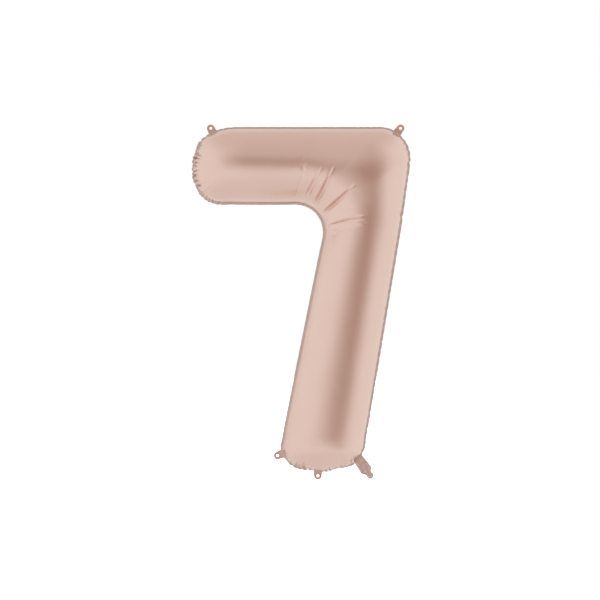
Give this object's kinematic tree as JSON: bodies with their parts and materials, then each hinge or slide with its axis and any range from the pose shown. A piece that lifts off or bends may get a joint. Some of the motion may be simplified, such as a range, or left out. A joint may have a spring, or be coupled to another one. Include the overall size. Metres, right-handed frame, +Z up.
{
  "type": "foil number balloon",
  "caption": "Air-filled foil balloon in the shape of the figure seven, with hanging tabs and a filling tail.",
  "frame": {"origin": "midway between the two upper hanging holes, in the plane of the seam", "axes": "+Z up along the figure's height, +X to the right as the figure is read, -Y towards the reader"},
  "size_m": [0.573, 0.2136, 0.9345],
  "materials": {
    "foil": "satin",
    "seal": "satin",
    "valve_film": "gloss",
    "release_coat": "matte"
  },
  "bodies": {
    "balloon": {"front_panel": "foil", "back_panel": "foil", "seal_band": "seal", "valve_front_film": "valve_film", "valve_back_film": "valve_film", "valve_release_coat": "release_coat"},
    "top_left_tab": {"top_left_tab_front_ply": "foil", "top_left_tab_back_ply": "foil"},
    "top_right_tab": {"top_right_tab_front_ply": "foil", "top_right_tab_back_ply": "foil"},
    "low_left_tab": {"low_left_tab_front_ply": "foil", "low_left_tab_back_ply": "foil"},
    "foot_tab": {"foot_tab_front_ply": "foil", "foot_tab_back_ply": "foil"},
    "tail": {"tail_front_ply": "foil", "tail_back_ply": "foil"}
  },
  "joints": [
    {"name": "top_left_tab_fold", "type": "hinge", "parent": "balloon", "child": "top_left_tab", "pos_m": [-0.24462, 0, -0.01073], "axis": [0.9001, 0, 0.4357], "range_deg": [-90, 90], "stiffness_Nm_per_rad": 0.0005},
    {"name": "top_right_tab_fold", "type": "hinge", "parent": "balloon", "child": "top_right_tab", "pos_m": [0.24084, 0, -0.01201], "axis": [0.801, 0, -0.5987], "range_deg": [-90, 90], "stiffness_Nm_per_rad": 0.0005},
    {"name": "low_left_tab_fold", "type": "hinge", "parent": "balloon", "child": "low_left_tab", "pos_m": [-0.06228, 0, -0.85679], "axis": [-0.3879, 0, 0.9217], "range_deg": [-90, 90], "stiffness_Nm_per_rad": 0.0005},
    {"name": "foot_tab_fold", "type": "hinge", "parent": "balloon", "child": "foot_tab", "pos_m": [0.03216, 0, -0.902], "axis": [-1, 0, 0], "range_deg": [-90, 90], "stiffness_Nm_per_rad": 0.0005},
    {"name": "tail_fold", "type": "hinge", "parent": "balloon", "child": "tail", "pos_m": [0.13877, 0, -0.87072], "axis": [-0.6618, 0, -0.7497], "range_deg": [-90, 90], "stiffness_Nm_per_rad": 0.002}
  ]
}
